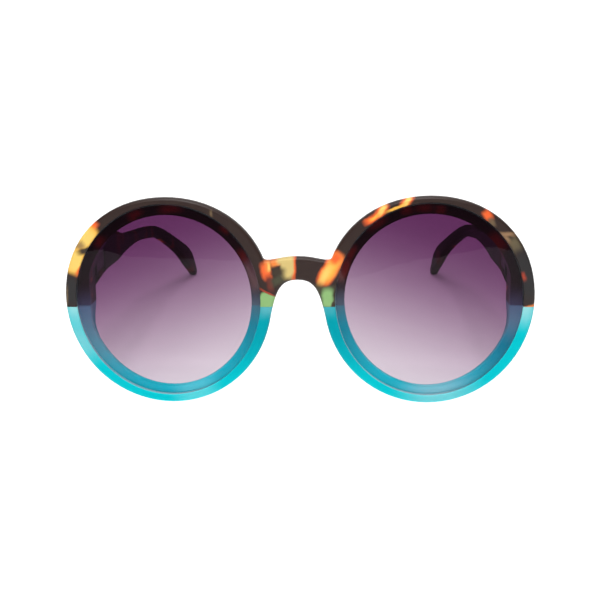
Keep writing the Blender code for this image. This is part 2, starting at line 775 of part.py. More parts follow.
def main():
    clear_scene()
    collection = make_collection("sunglasses")
    tortoise = make_material("tortoise_acetate", TORTOISE, 0.45)
    turquoise = make_material("turquoise_acetate", TURQUOISE, 0.45)
    tinted = make_material("tinted_lens", LENS_TINT, 0.05, alpha=0.55)
    steel = make_material("hinge_steel", HINGE_METAL, 0.30, 1.0)
    nickel = make_material("core_wire_metal", WIRE_METAL, 0.35, 1.0)

    upper, lower = make_front(collection)
    finishes = {"temple": tortoise, "lens": tinted, "nose_pad": turquoise, "core_wire": nickel}
    moving = ("temple", "temple_hinge", "core_wire")
    frame = make_empty("front_frame", (0, 0, 0), None, collection)
    pin = pin_place()
    pivots = {
        name: make_empty("hinge_axis_" + name, (side * pin.x, pin.y, pin.z), frame, collection)
        for name, side in SIDES
    }

    fixed = [(upper, tortoise)] + [(piece, turquoise) for piece in lower.values()]
    for kind, right in make_right_side(collection).items():
        right.name = kind + "_right"
        left = mirrored(right, kind + "_left", collection)
        finish = finishes.get(kind, steel)
        for name, piece in (("left", left), ("right", right)):
            if kind in moving:
                piece.data.materials.clear()
                piece.data.materials.append(finish)
                piece.parent = pivots[name]
                piece.location = -pivots[name].location
            else:
                fixed.append((piece, finish))
    for piece, finish in fixed:
        piece.data.materials.clear()
        piece.data.materials.append(finish)
        piece.parent = frame

    pieces = [obj for obj in collection.objects if obj.type == "MESH"]
    for piece in pieces:
        piece.data.shade_smooth()
        piece.data.set_sharp_from_angle(angle=math.radians(35))
    stand_on_table(frame, pieces)


if __name__ == "__main__":
    main()
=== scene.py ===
"""Oversize round sunglasses with a two-colour acetate front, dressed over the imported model.

Lengths are in metres. The front's own frame has X across the face, Y from the lenses to the ears
and Z up, with its origin on the front face midway between the rim centres. FRONT_TO_TABLE leans
that frame back on the table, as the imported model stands. Pixels count across and down from the
upper left corner of the photograph, which is 600 wide and high.
"""

import json
import math

import bpy
from bpy.props import FloatProperty, FloatVectorProperty, PointerProperty
from mathutils import Matrix, Vector


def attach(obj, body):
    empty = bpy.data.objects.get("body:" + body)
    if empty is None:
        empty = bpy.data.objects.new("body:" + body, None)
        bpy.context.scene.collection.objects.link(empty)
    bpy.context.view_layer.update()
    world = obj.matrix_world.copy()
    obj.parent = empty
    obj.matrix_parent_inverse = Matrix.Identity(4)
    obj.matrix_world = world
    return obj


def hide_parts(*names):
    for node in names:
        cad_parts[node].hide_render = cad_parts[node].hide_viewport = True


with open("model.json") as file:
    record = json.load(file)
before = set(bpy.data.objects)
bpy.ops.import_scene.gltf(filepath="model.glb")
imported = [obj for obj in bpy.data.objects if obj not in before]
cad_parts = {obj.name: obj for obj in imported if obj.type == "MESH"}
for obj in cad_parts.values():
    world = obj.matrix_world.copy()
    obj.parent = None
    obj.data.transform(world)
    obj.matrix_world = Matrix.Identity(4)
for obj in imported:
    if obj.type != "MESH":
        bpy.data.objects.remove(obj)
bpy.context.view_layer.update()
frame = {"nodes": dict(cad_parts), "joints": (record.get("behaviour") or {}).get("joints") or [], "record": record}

bl_info = {
    "name": "Two-colour sunglasses",
    "version": (1, 0, 0),
    "blender": (4, 5, 0),
    "location": "3D View > Sidebar > Sunglasses",
    "description": "Dresses a packed pair of sunglasses in acetate, tinted lenses and hinge metal",
    "category": "Object",
}

SIDES = ("left", "right")
MM = 0.001

# From the middle of one rim to the middle of the other, and the right hinge's joint, both in the
# front's own frame
RIM_SPACING = 0.0806
HINGE_PIN = Vector((0.0658, 0.01085, 0.0088))

# A lens's half width, its rise above its middle and its fall below it, then how far its front
# face lies behind the rim's at its edge and how far it bulges
LENS_OVAL = (0.0287, 0.0302, 0.0311)
LENS_SETBACK = 0.0001
LENS_CROWN = 0.0005

# How often the place at which a lens's bulging face is met is improved
LENS_ROUNDS = 20

# Depth of the ledge that a lens rests on
LEDGE_DEPTH = 0.0019

# Where masks rise or fall, from their start to their end: shares of the lens's oval, then depths
# behind the front face
INSIDE_RIM = (1.03, 0.99)
LEDGE_START = (0.0011, 0.0015)
LEDGE_END = (0.0042, 0.0028)
REAR_START = (0.0028, 0.0034)

# How close vertices are merged, how flat a run of faces is to become one, and up to which angle
# an edge is smooth
MERGE_DISTANCE = 0.0000005
FLAT_ANGLE = math.radians(0.4)
ACETATE_SMOOTH_ANGLE = math.radians(50)
LENS_SMOOTH_ANGLE = math.radians(30)
METAL_SMOOTH_ANGLE = math.radians(40)

# A lens's face looks along Y at least this much, and its ground edge less
LENS_FACE_TURN = 0.9

# Patches in the tortoise sheet, drawn over the photograph as strokes, laid one over the other: the
# hue, the middle, half length and half width in pixels, the long axis's angle in degrees and how
# soft the outline is
FACE_STROKES = {
    "left rim upper ember": ("ember", 93.2, 226.8, 5.2, 3.4, 48, 0.6),
    "left rim upper gold edge": ("amber", 86.3, 236.8, 11.4, 8.2, 55, 0.3),
    "left rim upper gold": ("gold", 85.3, 237.8, 9.4, 6.8, 55, 0.4),
    "left rim straw": ("straw", 79.5, 246.0, 5.0, 3.2, 38, 0.7),
    "left rim side gold edge": ("amber", 76.0, 261.8, 12.8, 6.8, 72, 0.25),
    "left rim side gold": ("gold", 75.0, 261.3, 10.8, 5.8, 72, 0.4),
    "left rim brown band": ("brown", 85.5, 250.3, 8.0, 2.8, 20, 0.6),
    "left rim side ember": ("ember", 79.3, 271.6, 4.8, 2.4, 62, 0.7),
    "left rim grey": ("slate", 71.5, 291.0, 14.0, 5.5, 90, 0.5),
    "left rim above the seam": ("sand", 67.4, 296.0, 8.0, 0.9, 90, 0.8),
    "left rim faint straw": ("sand", 211.0, 213.8, 2.8, 1.2, 100, 0.9),
    "bridge left ember": ("ember", 266.2, 271.6, 8.0, 4.6, 104, 0.45),
    "bridge tail": ("wine", 269.6, 283.6, 7.0, 2.6, 105, 0.7),
    "bridge left amber": ("orange", 267.0, 267.0, 4.6, 2.4, 98, 0.8),
    "bridge left gold": ("gold", 268.6, 267.0, 3.2, 1.3, 95, 0.8),
    "bridge link": ("orange", 275.0, 263.2, 5.4, 3.0, 15, 0.6),
    "bridge red edge": ("ember", 293.9, 267.5, 12.5, 1.7, 88, 0.8),
    "bridge cream": ("cream", 287.1, 266.6, 12.2, 6.5, 88, 0.25),
    "bridge cream corner": ("cream", 281.5, 260.3, 4.6, 3.0, 20, 0.7),
    "bridge heart": ("brown", 278.0, 272.2, 5.8, 4.4, -8, 0.8),
    "bridge lower heart": ("moss", 277.5, 280.8, 6.4, 3.4, 30, 0.8),
    "bridge right ember": ("ember", 330.2, 269.9, 17.4, 7.7, 58, 0.25),
    "bridge right orange": ("orange", 333.5, 266.2, 12.9, 6.5, 62, 0.4),
    "bridge right amber": ("amber", 330.5, 270.0, 12.0, 4.8, 60, 0.6),
    "bridge right gold": ("gold", 325.2, 275.0, 9.0, 2.9, 60, 0.9),
    "bridge right ember top": ("ember", 335.8, 259.1, 5.2, 3.8, 46, 0.7),
    "bridge right fade": ("moss", 326.0, 289.3, 9.0, 2.6, 8, 0.8),
    "green left": ("green", 267.0, 302.8, 9.2, 8.7, -22, 0.14),
    "green left edge": ("maroon", 267.2, 292.7, 7.5, 0.9, -24, 0.7),
    "green right": ("green", 327.6, 298.8, 9.4, 5.5, 88, 0.4),
    "green right corner": ("brown", 333.2, 304.6, 3.2, 1.6, 60, 0.5),
    "right rim first streak edge": ("ember", 407.2, 200.8, 8.4, 4.0, 55, 0.5),
    "right rim second streak edge": ("ember", 381.8, 210.6, 7.0, 4.2, 57, 0.5),
    "right rim third streak edge": ("ember", 372.0, 219.0, 8.2, 3.2, 32, 0.5),
    "right rim thin streak": ("amber", 397.0, 208.0, 10.5, 1.3, 21, 0.6),
    "right rim first streak": ("gold", 407.6, 200.8, 6.6, 2.2, 55, 0.6),
    "right rim second streak": ("gold", 382.0, 210.4, 5.4, 2.2, 57, 0.6),
    "right rim third streak": ("amber", 374.4, 217.6, 5.2, 1.3, 31, 0.7),
    "right rim ember": ("ember", 487.8, 215.4, 5.0, 3.7, 122, 0.6),
    "right rim ember tail": ("sand", 492.5, 222.4, 4.0, 2.2, 122, 0.9),
    "right rim tan": ("tan", 507.0, 234.2, 7.2, 1.9, -4, 0.8),
    "right rim second tan": ("tan", 507.3, 239.3, 5.4, 1.6, -48, 0.9),
    "right rim olive": ("olive", 515.3, 245.0, 6.8, 4.6, -62, 0.7),
    "right rim grey": ("slate", 527.0, 276.0, 26.0, 7.5, 100, 0.5),
    "right rim small ember": ("maroon", 524.0, 276.4, 3.8, 1.7, -72, 0.8),
    "right rim seam ember": ("orange", 530.2, 307.2, 5.2, 2.0, 16, 0.6),
}

# The same for the ledge behind the lenses
LEDGE_STROKES = {
    "left first": ("maroon", 135.0, 213.6, 6.8, 4.4, 35, 0.7),
    "left second": ("maroon", 170.5, 208.0, 9.5, 4.5, 5, 0.8),
    "left third": ("maroon", 224.5, 229.5, 4.2, 2.6, 140, 0.9),
    "left fourth": ("maroon", 243.5, 257.0, 7.2, 3.0, 125, 0.8),
    "left nasal haze": ("taupe", 253.6, 275.0, 15.5, 5.5, 107, 0.5),
    "right nasal haze": ("clay", 341.5, 270.5, 9.5, 4.8, 71, 0.6),
    "left fifth": ("maroon", 99.5, 241.5, 5.2, 3.4, 50, 0.9),
    "right first": ("maroon", 376.5, 222.5, 9.0, 3.8, 35, 0.8),
    "right second": ("maroon", 406.5, 209.0, 5.2, 4.0, 10, 0.8),
    "right third": ("maroon", 424.0, 207.5, 6.8, 3.5, 0, 0.9),
    "right fourth": ("maroon", 441.0, 209.5, 4.6, 3.5, 0, 0.8),
    "right fifth": ("maroon", 498.5, 241.5, 9.2, 5.2, 135, 0.7),
    "right sixth": ("maroon", 350.5, 251.5, 6.0, 3.5, 62, 0.8),
    "right seventh": ("maroon", 345.5, 267.0, 7.2, 3.5, 75, 0.8),
}

# Painted highlights on the turquoise sheet, given in the same way but in millimetres of the front's
# own frame: pale ones at the feet on both face and ledge, then a pale one on the face alone, and on
# the ledge alone a teal one that dims the painted light beside the right temple
FOOT_HIGHLIGHTS = {
    "left foot": ("mist", -32.8, -29.8, 5.6, 3.6, 14, 0.75),
    "right foot": ("foam", 44.2, -30.6, 8.6, 3.6, 7, 0.9),
}
FACE_HIGHLIGHTS = {**FOOT_HIGHLIGHTS, "left side": ("foam", -67.9, -13.0, 5.6, 2.0, 115, 0.9)}
LEDGE_PAINTED_LIGHT = {**FOOT_HIGHLIGHTS, "right side": ("teal", 62.3, -17.0, 7.5, 3.0, 55, 0.7)}

# The camera's direction from its target, its turn and its distance, found from the outlines of
# both rims
CAMERA_AZIMUTH = math.radians(2.8)
CAMERA_ELEVATION = math.radians(15.49)
CAMERA_ROLL = math.radians(-0.7727)
CAMERA_TARGET = Vector((0.7407, 0, 0.2205)) * MM
CAMERA_DISTANCE = 0.29221

# The camera's lens and sensor in millimetres, its picture in pixels, and how near it still sees
FOCAL_LENGTH = 56.899
SENSOR_WIDTH = 36
PICTURE_WIDTH = 600
NEAREST_SEEN = 0.01

# Each lamp's place, target and size
LAMPS = {
    "key": ((0.0, -0.18, 0.80), (0, 0, 0.02), (0.34, 0.34)),
    "front": ((-0.10, -0.75, 0.75), (0, -0.06, 0.03), (0.9, 0.5)),
}

# Strength of the world below the table's level, and as the camera sees it
WORLD_BELOW = 0.30
WORLD_SEEN = 1.15

# Where each lens mirrors the table's front edge in the photograph, in pixels
MIRRORED_EDGE = {
    "left": ((90, 247), (122, 257), (160, 259), (200, 261), (250, 262)),
    "right": ((345, 282), (372, 273), (400, 265), (450, 256), (505, 247)),
}

# How that edge goes on to the left and to the right, and where the table ends behind
TABLE_LEFT = ((-0.80, -0.95), (-0.32, -0.60))
TABLE_RIGHT = ((0.32, -0.63), (0.80, -0.95))
TABLE_BACK = 0.70

# Depths on the table between which its own light rises, towards the back and towards the front
TABLE_BRIGHT_BACK = (0.10, 0.45)
TABLE_BRIGHT_FRONT = (-0.18, -0.36)


def front_to_table():
    """Takes the front's own frame to the table's, from the hinge pin and its axis."""
    joint = next(joint for joint in frame["joints"] if joint["name"] == "right_fold")
    _, across, up = joint["axis"]
    lean = math.atan2(across, up)
    turn = Matrix.Rotation(-lean, 4, "X")
    return Matrix.Translation(joint["pos_m"]) @ turn @ Matrix.Translation(-HINGE_PIN)


FRONT_TO_TABLE = front_to_table()
LEAN = -FRONT_TO_TABLE.to_euler().x


def camera_axes():
    """The camera's directions to the right, up and backward in the front's own frame."""
    level_back = math.cos(CAMERA_ELEVATION)
    back = Vector(
        (
            math.sin(CAMERA_AZIMUTH) * level_back,
            -math.cos(CAMERA_AZIMUTH) * level_back,
            math.sin(CAMERA_ELEVATION),
        )
    )
    level = Vector((math.cos(CAMERA_AZIMUTH), math.sin(CAMERA_AZIMUTH), 0))
    upright = back.cross(level)
    right = level * math.cos(CAMERA_ROLL) + upright * math.sin(CAMERA_ROLL)
    up = upright * math.cos(CAMERA_ROLL) - level * math.sin(CAMERA_ROLL)
    return right, up, back


def sight(across, down):
    """Where the camera stands and the direction in which it sees a pixel."""
    right, up, back = camera_axes()
    ahead = PICTURE_WIDTH * FOCAL_LENGTH / SENSOR_WIDTH
    way = right * (across - PICTURE_WIDTH / 2) + up * (PICTURE_WIDTH / 2 - down) - back * ahead
    return CAMERA_TARGET + back * CAMERA_DISTANCE, way.normalized()


def seen_at(across, down, depth):
    """The place that the camera sees at a pixel, at a depth behind the front face."""
    start, way = sight(across, down)
    return start + way * ((depth - start.y) / way.y)


def traced(strokes, depth):
    """Strokes that lie at a depth, with their sizes in millimetres of the front's own frame."""
    patches = {}
    for name, (hue, across, down, half_length, half_width, angle, soft) in strokes.items():
        cos, sin = math.cos(math.radians(angle)), math.sin(math.radians(angle))
        middle = seen_at(across, down, depth)
        along = seen_at(across + half_length * cos, down - half_length * sin, depth) - middle
        beside = seen_at(across - half_width * sin, down - half_width * cos, depth) - middle
        sizes = [size / MM for size in (middle.x, middle.z, along.length, beside.length)]
        patches[name] = (hue, *sizes, math.degrees(math.atan2(along.z, along.x)), soft)
    return patches


def mirrored_on_table(side, across, down):
    """Where on the table a pixel looks by way of a lens's front face."""
    _, way = sight(across, down)
    place = seen_at(across, down, LENS_SETBACK)
    middle = RIM_SPACING / 2 if side == "right" else -RIM_SPACING / 2
    half_width, rise, fall = LENS_OVAL
    half_height = rise if place.z > 0 else fall
    for _ in range(LENS_ROUNDS):
        wide, high = (place.x - middle) / half_width, place.z / half_height
        depth = LENS_SETBACK - LENS_CROWN * (1 - wide * wide - high * high)
        place += way * ((depth - place.y) / way.y)
    slope = 2 * LENS_CROWN
    normal = Vector((-slope * wide / half_width, 1, -slope * high / half_height)).normalized()
    start = FRONT_TO_TABLE @ place
    way = FRONT_TO_TABLE.to_3x3() @ way.reflect(normal)
    hit = start - way * (start.z / way.z)
    return hit.x, hit.y


def table_edge():
    """The table's front edge from left to right, where the lenses mirror it as photographed."""
    mirrored = [
        mirrored_on_table(side, *pixel)
        for side, pixels in MIRRORED_EDGE.items()
        for pixel in pixels
    ]
    return [*TABLE_LEFT, *mirrored, *TABLE_RIGHT]


class Wire:
    """A node's output that takes part in sums, so that a mask reads as a formula."""

    def __init__(self, finish, socket):
        self.finish = finish
        self.socket = socket

    def maths(self, operation, first, second=0.0):
        return self.finish.node("ShaderNodeMath", {"operation": operation}, {0: first, 1: second})

    def __add__(self, other):
        return self.maths("ADD", self, other)

    def __radd__(self, other):
        return self.maths("ADD", other, self)

    def __sub__(self, other):
        return self.maths("SUBTRACT", self, other)

    def __rsub__(self, other):
        return self.maths("SUBTRACT", other, self)

    def __mul__(self, other):
        return self.maths("MULTIPLY", self, other)

    def __rmul__(self, other):
        return self.maths("MULTIPLY", other, self)

    def __truediv__(self, other):
        return self.maths("DIVIDE", self, other)

    def __abs__(self):
        return self.maths("ABSOLUTE", self)

    def higher(self, other):
        return self.maths("MAXIMUM", self, other)

    def rise(self, start, end):
        """0 below start, 1 above end and smooth between. It falls where end is the smaller."""
        if start > end:
            return 1 - self.rise(end, start)
        settings = {"interpolation_type": "SMOOTHSTEP"}
        inputs = {"Value": self, "From Min": start, "From Max": end}
        return self.finish.node("ShaderNodeMapRange", settings, inputs)


class Finish:
    """A material and its node tree."""

    def __init__(self, name):
        self.material = bpy.data.materials.new(name)
        self.material.use_nodes = True
        self.tree = self.material.node_tree
        self.tree.nodes.clear()

    def node(self, kind, settings=None, inputs=None, output=0):
        """Adds a node: its settings first, then a value or a link for each named socket."""
        node = self.tree.nodes.new(kind)
        for key, value in (settings or {}).items():
            if key == "stops":
                ramp = node.color_ramp.elements
                while len(ramp) < len(value):
                    ramp.new(1.0)
                for element, (place, colour) in zip(ramp, value):
                    element.position = place
                    element.color = (*colour, 1.0)
            else:
                setattr(node, key, value)
        for key, value in (inputs or {}).items():
            socket = node.inputs[key]
            if isinstance(value, Wire):
                self.tree.links.new(value.socket, socket)
            elif socket.type == "RGBA" and len(value) == 3:
                socket.default_value = (*value, 1.0)
            else:
                socket.default_value = value
        return Wire(self, node.outputs[output])

    def mix(self, factor, first, second):
        """A colour between two, by a factor."""
        settings = {"data_type": "RGBA", "clamp_factor": True}
        return self.node("ShaderNodeMix", settings, {0: factor, 6: first, 7: second}, output=2)

    def vectors(self, operation, first, second=(0, 0, 0), output=0, scale=1.0):
        inputs = {0: first, 1: second}
        if operation == "SCALE":
            inputs = {0: first, "Scale": scale}
        return self.node("ShaderNodeVectorMath", {"operation": operation}, inputs, output)

    def axes(self, place):
        split = self.node("ShaderNodeSeparateXYZ", None, {0: place}).socket.node
        return [Wire(self, output) for output in split.outputs]

    def joined(self, across, height):
        return self.node("ShaderNodeCombineXYZ", None, {0: across, 2: height})

    def object_place(self):
        return self.node("ShaderNodeTexCoord", output=3)

    def object_turn(self):
        """The direction that the surface faces."""
        return self.node("ShaderNodeTexCoord", output=1)

    def front_place(self):
        """The place on the piece in the front's own frame."""
        to_front = FRONT_TO_TABLE.inverted()
        inputs = {
            "Vector": self.object_place(),
            "Location": to_front.translation,
            "Rotation": (LEAN, 0, 0),
        }
        return self.node("ShaderNodeMapping", {"vector_type": "POINT"}, inputs)

    def rim_reach(self, place):
        """Distance from the middle of the rim in X and Z, 1 at the lens's edge."""
        across, _, height = self.axes(place)
        from_centre = self.joined(abs(across) - RIM_SPACING / 2, height)
        shrink = (1 / LENS_OVAL[0], 0, 2 / (LENS_OVAL[1] + LENS_OVAL[2]))
        return self.vectors("LENGTH", self.vectors("MULTIPLY", from_centre, shrink), output=1)

    def behind_lens(self, place):
        """1 on the ledge that the lens rests on and just behind it inside the rim, 0 elsewhere."""
        depth = self.axes(place)[1]
        inside = self.rim_reach(place).rise(*INSIDE_RIM)
        return inside * depth.rise(*LEDGE_START) * depth.rise(*LEDGE_END)

    def noise(self, place, size, detail=2.0, distortion=0.0, colour=False):
        """Soft noise whose features are about a size across, as a number or as a colour."""
        inputs = {"Vector": place, "Scale": 1 / size, "Detail": detail, "Distortion": distortion}
        return self.node("ShaderNodeTexNoise", None, inputs, output=int(colour))

    def wandered(self, place, size, amount):
        """A place moved about by noise, so that an outline drawn with it isn't exact."""
        shift = self.vectors("SUBTRACT", self.noise(place, size, colour=True), (0.5, 0.5, 0.5))
        return self.vectors("ADD", place, self.vectors("SCALE", shift, scale=amount))

    def patched(self, colour, place, patches, hues):
        """Lays patches with soft outlines over a colour."""
        for hue, x, z, half_length, half_width, angle, soft in patches.values():
            inputs = {
                "Vector": place,
                "Location": (x * MM, 0, z * MM),
                "Rotation": (0, -math.radians(angle), 0),
                "Scale": (half_length * MM, 1000, half_width * MM),
            }
            inside = self.node("ShaderNodeMapping", {"vector_type": "TEXTURE"}, inputs)
            square = self.vectors("MULTIPLY", inside, inside)
            fourth = self.vectors("DOT_PRODUCT", square, square, output=1)
            share = fourth.maths("POWER", fourth, 0.25).rise(1 + soft, 1 - soft)
            colour = self.mix(share, colour, hues[hue])
        return colour

    def bump(self, height, distance, strength):
        inputs = {"Height": height, "Distance": distance, "Strength": strength}
        return self.node("ShaderNodeBump", None, inputs)

    def surface(self, shader):
        """Ends the tree with a shader and gives the material."""
        output = self.tree.nodes.new("ShaderNodeOutputMaterial")
        self.tree.links.new(shader.socket, output.inputs["Surface"])
        return self.material

    def principled(self, **inputs):
        named = {key.replace("_", " "): value for key, value in inputs.items()}
        return self.node("ShaderNodeBsdfPrincipled", None, named)


class AcetateSettings(bpy.types.PropertyGroup):
    """Colours and finish of the acetate sheets."""

    tortoise_dark: FloatVectorProperty(
        name="Tortoise dark",
        description="Main brown",
        subtype="COLOR",
        size=3,
        min=0,
        max=1,
        default=(0.027, 0.0125, 0.0105),
    )
    tortoise_maroon: FloatVectorProperty(
        name="Tortoise maroon",
        description="Rim of a patch",
        subtype="COLOR",
        size=3,
        min=0,
        max=1,
        default=(0.22, 0.022, 0.012),
    )
    tortoise_ember: FloatVectorProperty(
        name="Tortoise ember",
        description="Orange edge",
        subtype="COLOR",
        size=3,
        min=0,
        max=1,
        default=(0.87, 0.13, 0.025),
    )
    tortoise_amber: FloatVectorProperty(
        name="Tortoise amber",
        description="Between",
        subtype="COLOR",
        size=3,
        min=0,
        max=1,
        default=(0.92, 0.46, 0.06),
    )
    tortoise_gold: FloatVectorProperty(
        name="Tortoise gold",
        description="Heart of a patch",
        subtype="COLOR",
        size=3,
        min=0,
        max=1,
        default=(0.90, 0.60, 0.14),
    )
    tortoise_green: FloatVectorProperty(
        name="Green tint",
        description="Beside the nose",
        subtype="COLOR",
        size=3,
        min=0,
        max=1,
        default=(0.25, 0.45, 0.165),
    )
    tortoise_cream: FloatVectorProperty(
        name="Tortoise cream",
        description="Pale patch on the bridge",
        subtype="COLOR",
        size=3,
        min=0,
        max=1,
        default=(0.66, 0.50, 0.18),
    )
    tortoise_olive: FloatVectorProperty(
        name="Olive tint",
        description="Faded patches",
        subtype="COLOR",
        size=3,
        min=0,
        max=1,
        default=(0.13, 0.10, 0.052),
    )
    turquoise: FloatVectorProperty(
        name="Turquoise",
        description="Lower sheet",
        subtype="COLOR",
        size=3,
        min=0,
        max=1,
        default=(0.0, 0.51, 0.57),
    )
    # Painted shade: the darker turquoise low down beside the nose
    turquoise_shade: FloatVectorProperty(
        name="Turquoise deep",
        description="Beside the nose",
        subtype="COLOR",
        size=3,
        min=0,
        max=1,
        default=(0.0, 0.30, 0.37),
    )
    # Painted highlight: the paler turquoise under the seam, on the outer sides and faintly by the nose
    turquoise_highlight: FloatVectorProperty(
        name="Turquoise pale",
        description="Under the seam",
        subtype="COLOR",
        size=3,
        min=0,
        max=1,
        default=(0.42, 0.73, 0.74),
    )
    roughness: FloatProperty(
        name="Roughness",
        description="Satin finish",
        subtype="FACTOR",
        min=0,
        max=1,
        default=0.42,
    )


class LensSettings(bpy.types.PropertyGroup):
    """What one face of a lens lets through at its top and bottom."""

    tint_top: FloatVectorProperty(
        name="Tint at the top",
        description="Passed colour",
        subtype="COLOR",
        size=3,
        min=0,
        max=1,
        default=(0.302, 0.148, 0.288),
    )
    tint_bottom: FloatVectorProperty(
        name="Tint at the bottom",
        description="Passed colour",
        subtype="COLOR",
        size=3,
        min=0,
        max=1,
        default=(0.740, 0.687, 0.730),
    )
    # Painted shade: how much the tint darkens outwards, towards the temples
    outward_shade: FloatProperty(
        name="Tint slope",
        description="How far the tint leans outwards",
        subtype="FACTOR",
        min=0,
        max=1,
        default=0.33,
    )
    mirror: FloatProperty(
        name="Mirror",
        description="Share mirrored head-on by one face",
        subtype="FACTOR",
        min=0,
        max=1,
        default=0.0088,
    )


class MetalSettings(bpy.types.PropertyGroup):
    """Finish of the hinges and wires."""

    hinge_colour: FloatVectorProperty(
        name="Hinge colour",
        description="Gunmetal plating",
        subtype="COLOR",
        size=3,
        min=0,
        max=1,
        default=(0.060, 0.054, 0.050),
    )
    wire_colour: FloatVectorProperty(
        name="Wire colour",
        description="Drawn wire",
        subtype="COLOR",
        size=3,
        min=0,
        max=1,
        default=(0.70, 0.66, 0.56),
    )
    edge_width: FloatProperty(
        name="Edge width",
        description="Tumbled edges",
        subtype="DISTANCE",
        min=0,
        max=0.0004,
        default=0.00008,
    )


class StageSettings(bpy.types.PropertyGroup):
    """Table, light and camera."""

    table_glow: FloatProperty(
        name="Table glow",
        description="Light of its own",
        min=0,
        max=2,
        default=0.35,
    )
    key_power: FloatProperty(
        name="Key light",
        description="Power of the lamp above",
        unit="POWER",
        min=0,
        max=200,
        default=4.2,
    )
    front_power: FloatProperty(
        name="Front light",
        description="Power of the lamp in front",
        unit="POWER",
        min=0,
        max=200,
        default=4.4,
    )
    sky: FloatProperty(
        name="Sky",
        description="Light from all round above the table",
        min=0,
        max=2,
        default=0.22,
    )
    backdrop: FloatProperty(
        name="Backdrop",
        description="Light from behind",
        min=0,
        max=2,
        default=0.65,
    )
    focal_length: FloatProperty(
        name="Focal length",
        description="Of the camera, in millimetres",
        unit="CAMERA",
        min=10,
        max=200,
        default=FOCAL_LENGTH,
    )
    distance: FloatProperty(
        name="Camera distance",
        description="From its target between the rims",
        subtype="DISTANCE",
        min=0.1,
        max=2,
        default=CAMERA_DISTANCE,
    )


def nothing_selected():
    """Leaves edit mode and deselects everything."""
    if bpy.context.object and bpy.context.object.mode != "OBJECT":
        bpy.ops.object.mode_set(mode="OBJECT")
    bpy.ops.object.select_all(action="DESELECT")


def take(piece):
    """Makes a piece the only one selected."""
    nothing_selected()
    piece.select_set(True)
    bpy.context.view_layer.objects.active = piece


def copied(node, name):
    """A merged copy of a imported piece, whose flat runs are single faces again."""
    piece = bpy.data.objects.new(name, frame["nodes"][node].data.copy())
    bpy.context.scene.collection.objects.link(piece)
    take(piece)
    piece.data.materials.clear()
    bpy.ops.object.mode_set(mode="EDIT")
    bpy.ops.mesh.select_all(action="SELECT")
    bpy.ops.mesh.remove_doubles(threshold=MERGE_DISTANCE)
    bpy.ops.mesh.dissolve_limited(angle_limit=FLAT_ANGLE)
    bpy.ops.mesh.normals_make_consistent(inside=False)
    bpy.ops.object.mode_set(mode="OBJECT")
    return piece


def apply_modifier(piece, kind, **settings):
    take(piece)
    bpy.ops.object.modifier_add(type=kind)
    modifier = piece.modifiers[-1]
    for key, value in settings.items():
        setattr(modifier, key, value)
    bpy.ops.object.modifier_apply(modifier=modifier.name)


def smoothed(piece, angle=ACETATE_SMOOTH_ANGLE):
    """Shades a piece smooth over its rounds, crisp at its corners and flat on its flat faces."""
    take(piece)
    bpy.ops.object.shade_smooth_by_angle(angle=angle)
    apply_modifier(piece, "WEIGHTED_NORMAL", keep_sharp=True)
    return piece


def body_of(node):
    for body, nodes in frame["record"]["behaviour"]["bodies"].items():
        if node in nodes:
            return body
    raise ValueError(f"no body holds {node}")


def placed(piece, node, slot, *finishes):
    """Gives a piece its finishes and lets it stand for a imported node."""
    for finish in finishes:
        piece.data.materials.append(finish)
    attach(piece, body_of(node))
    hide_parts(node)


def tortoise_ramp(finish, field, place):
    """Gold at 0, in a patch's heart, then either ember and maroon or straw, then the dark brown."""
    colours = bpy.context.scene.sunglasses_acetate
    field_at_end = 1.4
    straw_edge, straw_fade = (0.52, 0.29, 0.065), (0.14, 0.075, 0.028)
    ember = [
        (0.0, colours.tortoise_gold),
        (0.33, colours.tortoise_gold),
        (0.52, colours.tortoise_amber),
        (0.64, colours.tortoise_ember),
        (0.70, colours.tortoise_maroon),
        (0.80, colours.tortoise_dark),
    ]
    straw = [
        (0.0, colours.tortoise_gold),
        (0.44, colours.tortoise_gold),
        (0.60, straw_edge),
        (0.72, straw_fade),
        (0.84, colours.tortoise_dark),
    ]
    level = field / field_at_end
    choice = finish.noise(place, 0.0032, detail=1).rise(0.46, 0.58)
    first, second = [
        finish.node("ShaderNodeValToRGB", {"stops": stops}, {"Fac": level})
        for stops in (ember, straw)
    ]
    return finish.mix(choice, first, second)


def satin(finish, place, colour, shine=0.3, **extra):
    """The acetate's tumbled surface: a faint grainy bump and uneven sheen."""
    settings = bpy.context.scene.sunglasses_acetate
    unevenness = 0.10
    grain = finish.noise(place, 0.0006, detail=1)
    clouds = finish.noise(place, 0.004, detail=2)
    return finish.principled(
        Base_Color=colour,
        Roughness=settings.roughness - unevenness / 2 + unevenness * clouds,
        IOR=1.48,
        Specular_IOR_Level=shine,
        Normal=finish.bump(grain, 0.000006, 0.4),
        **extra,
    )


